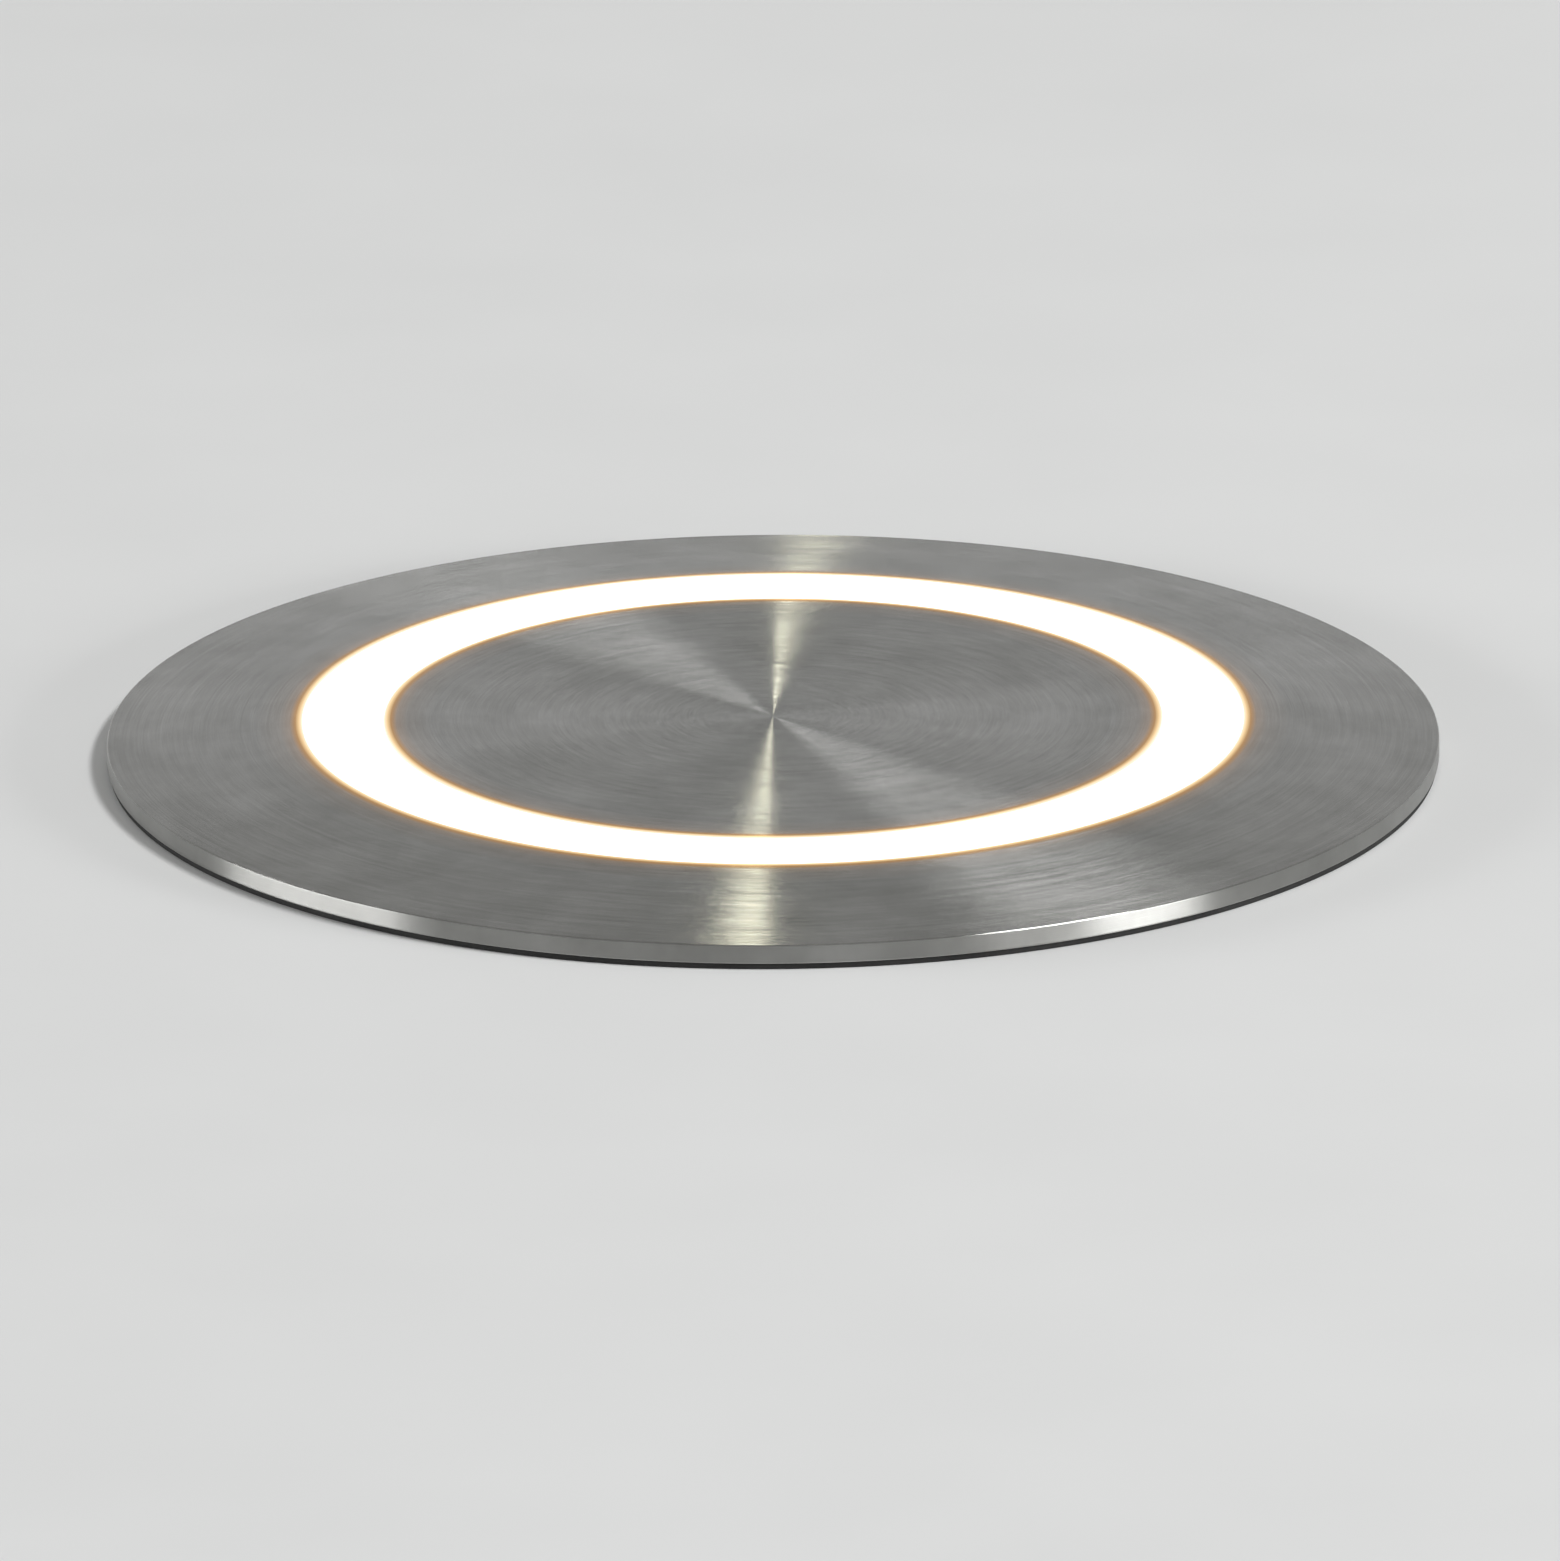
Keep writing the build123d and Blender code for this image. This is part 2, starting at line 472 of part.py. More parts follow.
# ---- everything, one file for each named piece or group of like pieces -----------------
def pieces():
    leaf_right, leaf_left = both_sides(clip_leaf())
    return {
        "mounting_sleeve": [mounting_sleeve()],
        "ground_gasket": [ground_gasket()],
        "trim_ring": [trim_ring()],
        "centre_disc": [centre_disc()],
        "diffuser": [diffuser()],
        "lens_gasket": [lens_gasket()],
        "stud_sealing_washer": [stud_sealing_washer()],
        "stud_nut": [stud_nut()],
        "housing": [housing()],
        "reflector": [reflector()],
        "led_board": [led_board()],
        "led_chips": led_chips(),
        "led_lead": [led_lead()],
        "driver_board": [driver_board()],
        "driver_inductor": [driver_inductor()],
        "driver_capacitors": driver_capacitors(),
        "driver_chips": driver_chips(),
        "terminal_block": [terminal_block()],
        "driver_spacers": driver_spacers(),
        "base_gasket": [base_gasket()],
        "base_cover": [base_cover()],
        "base_screws": base_screws(),
        "gland_body": [gland_body()],
        "gland_locknut": [gland_locknut()],
        "gland_seal": [gland_seal()],
        "gland_cap_nut": [gland_cap_nut()],
        "clip_brackets": both_sides(clip_bracket()),
        "clip_screws": both_sides(clip_screw()),
        "clip_pins": both_sides(clip_pin()),
        "clip_springs": both_sides(clip_spring()),
        "clip_leaf_right": [leaf_right],
        "clip_leaf_left": [leaf_left],
    }


def write(name, solids):
    shape = solids[0] if len(solids) == 1 else Compound(children=solids)
    export_step(shape, f"parts/{name}.step")


os.makedirs("parts", exist_ok=True)
for name, solids in pieces().items():
    write(name, solids)
print(f"least gap between the spring's turns: {least_coil_gap():.2f} mm")
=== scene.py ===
# %% [markdown]
# # A flush in-ground ring light
#
# This lesson dresses a light that is let into paving: a turned stainless face with a
# glowing opal ring, screwed to a cast housing that hangs in a buried sleeve. The solids
# were modelled and packed beforehand, so the first step loads them as a fixed frame.
# Everything below works in metres, with ground level at z = 0 and +Z up, and takes the
# main radii and heights from that frame instead of repeating them; other sizes are given as numbers.

# %% Load the imported solids
import json
from math import acos, atan2, cos, pi, radians, sin, tan

import bmesh
import bpy
from mathutils import Matrix, Quaternion, Vector


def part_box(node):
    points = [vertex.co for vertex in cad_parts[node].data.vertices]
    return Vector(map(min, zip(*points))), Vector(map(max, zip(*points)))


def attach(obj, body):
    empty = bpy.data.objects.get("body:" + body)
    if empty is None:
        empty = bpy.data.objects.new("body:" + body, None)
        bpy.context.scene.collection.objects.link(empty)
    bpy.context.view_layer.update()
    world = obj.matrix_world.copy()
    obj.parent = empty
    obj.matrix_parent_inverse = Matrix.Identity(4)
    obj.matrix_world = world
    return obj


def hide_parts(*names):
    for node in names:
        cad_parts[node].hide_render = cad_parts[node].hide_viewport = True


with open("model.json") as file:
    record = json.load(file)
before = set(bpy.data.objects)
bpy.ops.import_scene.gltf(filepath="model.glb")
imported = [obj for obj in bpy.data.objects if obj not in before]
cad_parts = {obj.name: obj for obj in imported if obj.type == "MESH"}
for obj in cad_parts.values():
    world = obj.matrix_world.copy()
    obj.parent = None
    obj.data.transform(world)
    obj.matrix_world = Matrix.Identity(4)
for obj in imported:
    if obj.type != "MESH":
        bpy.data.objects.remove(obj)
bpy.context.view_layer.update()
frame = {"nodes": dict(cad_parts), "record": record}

MM = 0.001
nodes_of_frame = frame["nodes"]

# %% [markdown]
# ## Sizes read from the frame
#
# A turned piece is fully described by radii and heights. The frame gives each node's
# lowest and highest corner, so the radius of a round piece is its highest x, and the
# visible pieces built later take these sizes from the solids they stand for. The other
# sizes below are given as numbers.

# %% Radii and heights of the face
def radius_of(node):
    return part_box(node)[1].x


def heights_of(node):
    low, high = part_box(node)
    return low.z, high.z


FLANGE_R = radius_of("trim_ring")
DISC_R = radius_of("centre_disc")
SKIRT_BOTTOM_Z, FACE_Z = heights_of("trim_ring")
STUD_END_Z = heights_of("centre_disc")[0]
WEB_BOTTOM_Z = heights_of("diffuser")[0]
DIFFUSER_R = radius_of("diffuser")
GASKET_R, GASKET_TOP_Z = radius_of("ground_gasket"), heights_of("ground_gasket")[1]
SLEEVE_LIP_R = radius_of("mounting_sleeve")
LIT_OUTER_R = 38.8 * MM
SKIRT_R, SKIRT_BORE_R = 45.3 * MM, 43.5 * MM
RIM_TOP_Z, LAND_Z, WEB_TOP_Z = 2.1 * MM, 0.3 * MM, 1.75 * MM
RING_GAP = 0.1 * MM
STUD_R = 2.0 * MM
BAND_MIDDLE, BAND_HALF = (LIT_OUTER_R + DISC_R) / 2, (LIT_OUTER_R - DISC_R) / 2
print(f"face {2 * FLANGE_R / MM:.0f} mm across, lit band {(LIT_OUTER_R - DISC_R) / MM:.1f} mm wide")

# %% [markdown]
# ## Camera
#
# The photograph looks down at 18 degrees from far away with a long lens: the circles are
# ellipses whose near and far halves differ by a few pixels only. The camera is aimed at a
# point a little below the face's centre, so no lens shift is needed, and it leans by a
# third of a degree, as the picture does.

# %% Make the camera
ELEVATION, LEAN = radians(18.05), radians(-0.36)
DISTANCE = 40 * FLANGE_R
PHOTO_WIDTH, PHOTO_HEIGHT = 1560, 1561
FACE_HALF_WIDTH_PIXELS, FACE_CENTRE_PIXEL = 666.2, (773.4, 716.0)
PIXELS_PER_METRE = FACE_HALF_WIDTH_PIXELS / FLANGE_R

camera_data = bpy.data.cameras.new("camera")
camera_data.lens = PIXELS_PER_METRE * DISTANCE * camera_data.sensor_width / PHOTO_HEIGHT
camera_data.clip_start, camera_data.clip_end = 0.1, 50
camera = bpy.data.objects.new("camera", camera_data)
bpy.context.collection.objects.link(camera)

back = Vector((0, -cos(ELEVATION), sin(ELEVATION)))
picture_up = Vector((0, sin(ELEVATION), cos(ELEVATION)))
aside = (PHOTO_WIDTH / 2 - FACE_CENTRE_PIXEL[0]) / PIXELS_PER_METRE
below = (PHOTO_HEIGHT / 2 - FACE_CENTRE_PIXEL[1]) / PIXELS_PER_METRE
aim = Vector((aside, 0, FACE_Z)) - picture_up * below
camera.location = aim + back * DISTANCE
camera.rotation_mode = "QUATERNION"
camera.rotation_quaternion = (-back).to_track_quat("-Z", "Y") @ Quaternion((0, 0, 1), LEAN)
bpy.context.scene.camera = camera
print(f"lens {camera_data.lens:.0f} mm at {DISTANCE:.2f} m")

# %% [markdown]
# ## Node helpers
#
# Every finish below is a small tree of nodes around one Principled shader. These helpers
# keep the trees short: `finish_of` starts a material, `add_node` makes a node and fills
# its sockets, and the others work out numbers and vectors. A number that is the same all
# over goes straight into the shader's own socket, because that survives an export.

# %% Helpers for nodes
def finish_of(name, **sockets):
    """A new material; keyword names are the Principled shader's sockets, with _ for spaces."""
    material = bpy.data.materials.new(name)
    material.use_nodes = True
    tree = material.node_tree
    shader = tree.nodes["Principled BSDF"]
    for socket, value in sockets.items():
        shader.inputs[socket.replace("_", " ")].default_value = value
    return material, tree, shader


def add_node(tree, kind, settings=None, **sockets):
    """Adds a node. A socket's value may be a number, a colour or another node's output."""
    made = tree.nodes.new(kind)
    for name, value in (settings or {}).items():
        setattr(made, name, value)
    for name, value in sockets.items():
        socket = made.inputs[int(name[1:])] if name[0] == "_" else made.inputs[name]
        if isinstance(value, bpy.types.NodeSocket):
            tree.links.new(value, socket)
        else:
            socket.default_value = value
    return made


def place(tree):
    """Position in the object's own space, in metres."""
    return add_node(tree, "ShaderNodeTexCoord").outputs["Object"]


def math_of(tree, operation, first, second=0.0):
    return add_node(tree, "ShaderNodeMath", {"operation": operation}, _0=first, _1=second).outputs[0]


def vector_of(tree, operation, first, second=(0, 0, 0)):
    return add_node(tree, "ShaderNodeVectorMath", {"operation": operation}, _0=first, _1=second).outputs[0]


def scaled(tree, vector, factor):
    return add_node(tree, "ShaderNodeVectorMath", {"operation": "SCALE"}, _0=vector, Scale=factor).outputs[0]


def z_of(tree, vector):
    return add_node(tree, "ShaderNodeSeparateXYZ", Vector=vector).outputs["Z"]


def distance_from_axis(tree):
    flat = vector_of(tree, "MULTIPLY", place(tree), (1, 1, 0))
    return add_node(tree, "ShaderNodeVectorMath", {"operation": "LENGTH"}, _0=flat).outputs["Value"]


def map_range(tree, value, low, high, to_low, to_high):
    """Maps low to high onto to_low to to_high, and stays at the ends beyond them."""
    return add_node(
        tree, "ShaderNodeMapRange", Value=value, _1=low, _2=high, _3=to_low, _4=to_high
    ).outputs[0]


print("node helpers ready")

# %% [markdown]
# ## Noise, colour and relief
#
# No real surface is one even colour. `mottle` is soft noise in the object's own space, so
# it moves with the piece. `between` turns a value into a colour, `two_tone` does that over
# the noise's usual range, `spread` maps the noise onto a roughness, and `relief` turns a
# value into a bump.

# %% Helpers for noise
NOISE_LOW, NOISE_HIGH = 0.3, 0.7  # nearly all values of a soft noise lie between these


def mottle(tree, grain_mm, detail=2.0, stretch=(1, 1, 1)):
    """Soft noise whose lumps are about grain_mm across."""
    stretched = vector_of(tree, "MULTIPLY", place(tree), stretch)
    scale = 1 / (grain_mm * MM)
    return add_node(tree, "ShaderNodeTexNoise", Vector=stretched, Scale=scale, Detail=detail).outputs[0]


def between(tree, factor, *stops):
    """A colour for each value: stops are (position, colour) pairs."""
    ramp = add_node(tree, "ShaderNodeValToRGB", Fac=factor)
    ends = ramp.color_ramp.elements
    while len(ends) < len(stops):
        ends.new(0.5)
    for end, (position, colour) in zip(ends, sorted(stops, key=lambda stop: stop[0])):
        end.position = position
        end.color = (*colour, 1)
    return ramp.outputs[0]


def two_tone(tree, noise, dark, pale):
    return between(tree, noise, (NOISE_LOW, dark), (NOISE_HIGH, pale))


def spread(tree, noise, low, high):
    """Maps the noise's usual range onto low to high."""
    return map_range(tree, noise, NOISE_LOW, NOISE_HIGH, low, high)


def relief(tree, shader, height, depth_mm, strength=1.0):
    bump = add_node(tree, "ShaderNodeBump", Height=height, Distance=depth_mm * MM, Strength=strength)
    tree.links.new(bump.outputs[0], shader.inputs["Normal"])


FINISHES = {}
print("noise helpers ready")

# %% [markdown]
# ## Turned stainless steel
#
# The face was finished on a lathe, so its grain runs in fine circles. Such a surface is
# smooth along the circles and rough across them: every lamp in the room is smeared into
# a spoke through the centre. That is anisotropy. The shader needs to know which way the
# grain runs, and a Tangent node set to radial about Z tells it. The grooves themselves
# are noise along the turned section, which is outwards on the face and downwards on the
# rim, and their flanks tilt the normal that way. The rim's colour is darker, as painted
# shade. Next to the glowing ring a narrow amber halo is painted onto the steel as a ramp
# over the distance from the lit band: a painted glow in the emission, and painted darker
# amber shade in the colour.

# %% Colours and sizes of the turned steel
STEEL_DARK, STEEL_PALE = (0.46, 0.46, 0.44), (0.64, 0.64, 0.62)
GROOVE_MM, GROOVE_DETAIL = 0.035, 3.0
GROOVE_SLOPE = 0.38  # how steeply the grooves' flanks lean, as a tangent
FLANK_LOW, FLANK_HIGH = 0.36, 0.64  # noise values at which a flank is at its steepest
SCRATCH_WIDTH_MM, SCRATCHES_ROUND, SCRATCH_DETAIL, SCRATCH_FALL = 0.45, 5.0, 4.0, 0.65
STAIN_MM, STAIN_DETAIL = 7.0, 4.0
SCRATCH_SHARE, STAIN_SHARE = 0.4, 0.6
WEAR_LOW, WEAR_HIGH = 0.35, 0.65
FACE_ROUGHNESS, RIM_ROUGHNESS = 0.14, 0.36
# painted shade: the rim's colour is made darker than the face's
RIM_PAINTED_SHADE, RIM_SLOPE = 0.70, 0.5  # the parted rim against the face
RIM_NORMAL_Z, FACE_NORMAL_Z = 0.2, 0.8  # how far up a normal points on the rim and on the face
GLOW_REACH_MM = 4.0
CREAM = (1.0, 0.96, 0.82)
# painted glow: amber emission on the steel next to the lit ring
PAINTED_GLOW_ON_STEEL = (
    (0.0, (0, 0, 0)), (0.50, (0.02, 0.010, 0.003)), (0.72, (0.08, 0.036, 0.007)),
    (0.84, (0.26, 0.12, 0.025)), (0.92, (0.80, 0.56, 0.28)), (1.0, CREAM),
)
# painted shade: the steel's colour turns darker and amber next to the lit ring
PAINTED_AMBER_SHADE_ON_STEEL = ((0.72, (1, 1, 1)), (0.84, (0.80, 0.55, 0.30)), (1.0, (0.60, 0.40, 0.22)))
print("grooves about", GROOVE_MM, "mm wide, halo", GLOW_REACH_MM, "mm")

# %% [markdown]
# ## Patterns on the turned steel
#
# Three patterns follow the lathe's circles. `ring_glow` measures how near a point is to the
# lit band. `scratches` stretches noise along the circles by giving it the direction from
# the axis, which changes slowly, and the distance from it, which changes fast.
# `groove_flanks` is noise along the section, turned into a lean of the surface.

# %% Glow, scratches and grooves
def away_from_band_middle(tree):
    return math_of(tree, "ABSOLUTE", math_of(tree, "SUBTRACT", distance_from_axis(tree), BAND_MIDDLE))


def ring_glow(tree, reach_mm):
    """1 on the lit band, falling to 0 at reach_mm away from either of its edges."""
    return map_range(tree, away_from_band_middle(tree), BAND_HALF, BAND_HALF + reach_mm * MM, 1.0, 0.0)


def scratches(tree):
    """Noise drawn out along the circles: short arcs, fine from one radius to the next."""
    outwards = vector_of(tree, "NORMALIZE", vector_of(tree, "MULTIPLY", place(tree), (1, 1, 0)))
    round_and_round = vector_of(tree, "MULTIPLY", outwards, (SCRATCHES_ROUND, SCRATCHES_ROUND, 0))
    step_out = math_of(tree, "DIVIDE", distance_from_axis(tree), SCRATCH_WIDTH_MM * MM)
    lifted = add_node(tree, "ShaderNodeCombineXYZ", Z=step_out).outputs[0]
    both = vector_of(tree, "ADD", round_and_round, lifted)
    return add_node(
        tree, "ShaderNodeTexNoise", Vector=both, Scale=1.0, Detail=SCRATCH_DETAIL, Roughness=SCRATCH_FALL
    ).outputs[0]


def groove_flanks(tree, surface):
    """The way across the grain on the surface, and how far each groove's flank leans that way."""
    along_section = math_of(tree, "SUBTRACT", distance_from_axis(tree), z_of(tree, place(tree)))
    grooves = add_node(
        tree, "ShaderNodeTexNoise", {"noise_dimensions": "1D"},
        W=along_section, Scale=1 / (GROOVE_MM * MM), Detail=GROOVE_DETAIL,
    ).outputs[0]
    round_the_axis = vector_of(tree, "CROSS_PRODUCT", (0, 0, 1), place(tree))
    across_grain = vector_of(tree, "NORMALIZE", vector_of(tree, "CROSS_PRODUCT", round_the_axis, surface))
    return across_grain, map_range(tree, grooves, FLANK_LOW, FLANK_HIGH, -GROOVE_SLOPE, GROOVE_SLOPE)


print("patterns for the turned steel ready")

# %% [markdown]
# ## The turned finish put together
#
# The rim and the face are one piece, so one material has to tell them apart: a normal
# that points up is on the face, and one that lies level is on the rim. Everything that
# differs between the two is blended over that.

# %% Turned stainless finish
def turned_stainless():
    material, tree, shader = finish_of(
        "turned_stainless", Metallic=1.0, Anisotropic=1.0, Anisotropic_Rotation=0.25, Emission_Strength=1.0
    )
    tangent = add_node(tree, "ShaderNodeTangent", {"direction_type": "RADIAL", "axis": "Z"})
    tree.links.new(tangent.outputs[0], shader.inputs["Tangent"])
    surface = add_node(tree, "ShaderNodeNewGeometry").outputs["Normal"]
    facing_up = math_of(tree, "ABSOLUTE", z_of(tree, surface))

    def from_rim_to_face(rim, face):
        return map_range(tree, facing_up, RIM_NORMAL_Z, FACE_NORMAL_Z, rim, face)

    across_grain, flank = groove_flanks(tree, surface)
    lean = math_of(tree, "MULTIPLY", flank, from_rim_to_face(RIM_SLOPE, 1.0))
    tilted = vector_of(tree, "ADD", surface, scaled(tree, across_grain, lean))
    tree.links.new(vector_of(tree, "NORMALIZE", tilted), shader.inputs["Normal"])
    tree.links.new(from_rim_to_face(RIM_ROUGHNESS, FACE_ROUGHNESS), shader.inputs["Roughness"])

    scratched = math_of(tree, "MULTIPLY", scratches(tree), SCRATCH_SHARE)
    stained = math_of(tree, "MULTIPLY", mottle(tree, STAIN_MM, STAIN_DETAIL), STAIN_SHARE)
    wear = math_of(tree, "ADD", scratched, stained)
    steel = between(tree, wear, (WEAR_LOW, STEEL_DARK), (WEAR_HIGH, STEEL_PALE))
    # painted shade: the rim's colour is darkened against the face's
    colour = scaled(tree, steel, from_rim_to_face(RIM_PAINTED_SHADE, 1.0))
    near_the_light = ring_glow(tree, GLOW_REACH_MM)
    # painted shade next to the lit ring, darker and amber
    colour = vector_of(tree, "MULTIPLY", colour, between(tree, near_the_light, *PAINTED_AMBER_SHADE_ON_STEEL))
    tree.links.new(colour, shader.inputs["Base Color"])
    # painted glow on the steel next to the lit ring
    tree.links.new(between(tree, near_the_light, *PAINTED_GLOW_ON_STEEL), shader.inputs["Emission Color"])
    return material


FINISHES["turned_stainless"] = turned_stainless()
print("turned stainless ready")

# %% [markdown]
# ## Opal ring
#
# The diffuser is one milky moulding. Only its raised ring shows, and it glows evenly.
# The light inside is a little warmer at the ring's two edges, where it comes straight off
# the chamber's walls. So the glow's colour is a ramp over the distance from the band's
# middle, nearly white across its width and cream in the last few tenths of a millimetre.

# %% Opal finish
GLOW_WHITE = (1.0, 0.985, 0.93)
CREAM_EDGE_MM, OPAL_CLOUD_MM = 0.35, 4.0


def lit_opal():
    material, tree, shader = finish_of("lit_opal", Roughness=0.38, IOR=1.49, Emission_Strength=1.0)
    colour = two_tone(tree, mottle(tree, OPAL_CLOUD_MM), (0.90, 0.89, 0.85), (0.95, 0.94, 0.91))
    tree.links.new(colour, shader.inputs["Base Color"])
    near_edge = map_range(
        tree, away_from_band_middle(tree), BAND_HALF - CREAM_EDGE_MM * MM, BAND_HALF, 0.0, 1.0
    )
    glow = between(tree, near_edge, (0.0, GLOW_WHITE), (1.0, CREAM))
    tree.links.new(glow, shader.inputs["Emission Color"])
    return material


FINISHES["opal"] = lit_opal()
print("opal ring finish ready")

# %% [markdown]
# ## Cast and machined aluminium
#
# The housing is a bead-blasted die casting: dull, pale grey, with a fine sandy relief.
# The base cover is machined, the screws are bright zinc, and the clips are rolled sheet,
# whose grain is drawn out down the leaf. All are metals, so their colour lives in the
# reflection, and what separates them is roughness and the size and shape of the grain.
# One helper, `textured`, gives any finish its patches, its grain and its relief.

# %% Aluminium finishes
METAL_GRAIN = {"detail": 3.0, "patch": 40, "swing": 0.05, "strength": 0.5}
EVEN, DOWN_THE_LEAF = (1, 1, 1), (1, 1, 0.06)


def textured(finish, dark, pale, grain_mm, rough, depth_mm, grain, stretch=EVEN):
    """Broad patches of two colours, with a fine grain in the roughness and the relief."""
    material, tree, shader = finish
    fine = mottle(tree, grain_mm, grain["detail"], stretch)
    broad = mottle(tree, grain_mm * grain["patch"], stretch=stretch)
    roughness = spread(tree, fine, rough - grain["swing"], rough + grain["swing"])
    tree.links.new(two_tone(tree, broad, dark, pale), shader.inputs["Base Color"])
    tree.links.new(roughness, shader.inputs["Roughness"])
    relief(tree, shader, fine, depth_mm, grain["strength"])
    return material


for slot, dark, pale, grain_mm, rough, depth_mm, stretch in (
    ("cast_aluminium", (0.46, 0.47, 0.48), (0.56, 0.57, 0.58), 0.25, 0.48, 0.03, EVEN),
    ("machined_aluminium", (0.60, 0.61, 0.62), (0.68, 0.69, 0.70), 0.12, 0.32, 0.006, EVEN),
    ("zinc_steel", (0.58, 0.59, 0.61), (0.70, 0.70, 0.68), 0.8, 0.26, 0.002, EVEN),
    ("spring_steel", (0.36, 0.36, 0.35), (0.50, 0.49, 0.47), 0.15, 0.28, 0.0015, DOWN_THE_LEAF),
    ("nickel_brass", (0.60, 0.56, 0.48), (0.70, 0.67, 0.60), 0.3, 0.24, 0.004, EVEN),
):
    bare = finish_of(slot, Metallic=1.0)
    FINISHES[slot] = textured(bare, dark, pale, grain_mm, rough, depth_mm, METAL_GRAIN, stretch)
print("finishes so far:", ", ".join(FINISHES))

# %% [markdown]
# ## Mouldings and rubber
#
# Plastics and rubber differ from metal in that light enters them, so their colour is in
# the body. A moulding tool leaves a fine spark-eroded texture, rubber is duller and picks
# up pale dust, and the white parts of the lamp chamber are glossy to bounce light.

# %% Moulded finishes
MOULDED_GRAIN = {"detail": 4.0, "patch": 30, "swing": 0.07, "strength": 0.4}
POLYMER_IOR = 1.48

for slot, dark, pale, grain_mm, rough, depth_mm in (
    ("black_rubber", (0.010, 0.010, 0.010), (0.022, 0.022, 0.021), 0.2, 0.82, 0.02),
    ("black_polymer", (0.028, 0.028, 0.028), (0.046, 0.046, 0.045), 0.3, 0.50, 0.03),
    ("white_polymer", (0.84, 0.84, 0.82), (0.90, 0.90, 0.88), 0.4, 0.30, 0.006),
    ("white_board", (0.80, 0.80, 0.78), (0.87, 0.87, 0.85), 0.3, 0.35, 0.004),
    ("lead_sheath", (0.36, 0.045, 0.035), (0.46, 0.06, 0.05), 0.3, 0.45, 0.01),
    ("ferrite", (0.07, 0.07, 0.07), (0.12, 0.12, 0.12), 0.15, 0.62, 0.03),
    ("can_sleeve", (0.045, 0.05, 0.13), (0.06, 0.07, 0.17), 0.5, 0.28, 0.004),
    ("chip_resin", (0.025, 0.025, 0.026), (0.040, 0.040, 0.042), 0.12, 0.55, 0.01),
    ("terminal_polymer", (0.09, 0.28, 0.16), (0.12, 0.35, 0.20), 0.3, 0.42, 0.01),
):
    bare = finish_of(slot, IOR=POLYMER_IOR)
    FINISHES[slot] = textured(bare, dark, pale, grain_mm, rough, depth_mm, MOULDED_GRAIN)
print(len(FINISHES), "finishes so far")

# %% [markdown]
# ## Circuit board and phosphor
#
# A green board shows faint copper tracks through its mask. A Brick texture turned into
# thin lines gives tracks that run straight and step aside. The LED's phosphor is a soft
# yellow resin that glows on its own when the lamp is on.

# %% Board and phosphor finishes
MASK_DARK, MASK_PALE, TRACK_GREEN = (0.03, 0.19, 0.09, 1), (0.035, 0.22, 0.10, 1), (0.07, 0.34, 0.15, 1)
TRACKS_PER_METRE, TRACK_WIDTH, TRACK_DEPTH_MM = 160.0, 0.06, 0.02
PHOSPHOR_CELL_MM = 0.5


def tracked_board():
    material, tree, shader = finish_of("green_board", IOR=1.5, Roughness=0.3)
    tracks = add_node(
        tree, "ShaderNodeTexBrick", {"offset": 0.37, "squash": 1.6, "squash_frequency": 3},
        Vector=place(tree), Scale=TRACKS_PER_METRE, Color1=MASK_DARK, Color2=MASK_PALE, Mortar=TRACK_GREEN,
    )
    tracks.inputs["Mortar Size"].default_value = TRACK_WIDTH
    tree.links.new(tracks.outputs["Color"], shader.inputs["Base Color"])
    relief(tree, shader, tracks.outputs["Fac"], TRACK_DEPTH_MM, 0.4)
    return material


def phosphor():
    material, tree, shader = finish_of("phosphor", Roughness=0.4, Emission_Strength=0.6)
    colour = two_tone(tree, mottle(tree, PHOSPHOR_CELL_MM), (0.90, 0.68, 0.16), (0.97, 0.82, 0.34))
    tree.links.new(colour, shader.inputs["Base Color"])
    tree.links.new(colour, shader.inputs["Emission Color"])
    return material


FINISHES["green_board"] = tracked_board()
FINISHES["phosphor"] = phosphor()
print(len(FINISHES), "finishes in all")

# %% [markdown]
# ## Dress the solids that stay
#
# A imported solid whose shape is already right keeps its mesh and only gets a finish. The
# record says which material slot each node belongs to, so the loop needs no list.

# %% Assign finishes by slot
slot_of = {part["node"]: part["material_slot"] for part in frame["record"]["subparts"]}
for name, solid in nodes_of_frame.items():
    solid.data.materials.clear()
    solid.data.materials.append(FINISHES[slot_of[name]])
print("dressed", len(nodes_of_frame), "solids")

# %% [markdown]
# ## Round the corners of a section
#
# No real edge is perfectly sharp, and the glint on a rounded edge is what makes an object
# look made. A Bevel modifier could do it, but most pieces here are turned, so it is simpler
# to round the corners of the section before it is taken round the axis.

# %% Ease a section
ON_AXIS = 1e-9
NEARLY_STRAIGHT = radians(88)  # half of a corner's angle beyond which it needs no rounding
MOST_OF_A_SIDE, GUARD = 0.4, 1.2  # an arc's reach along a side, and the extra point beyond it


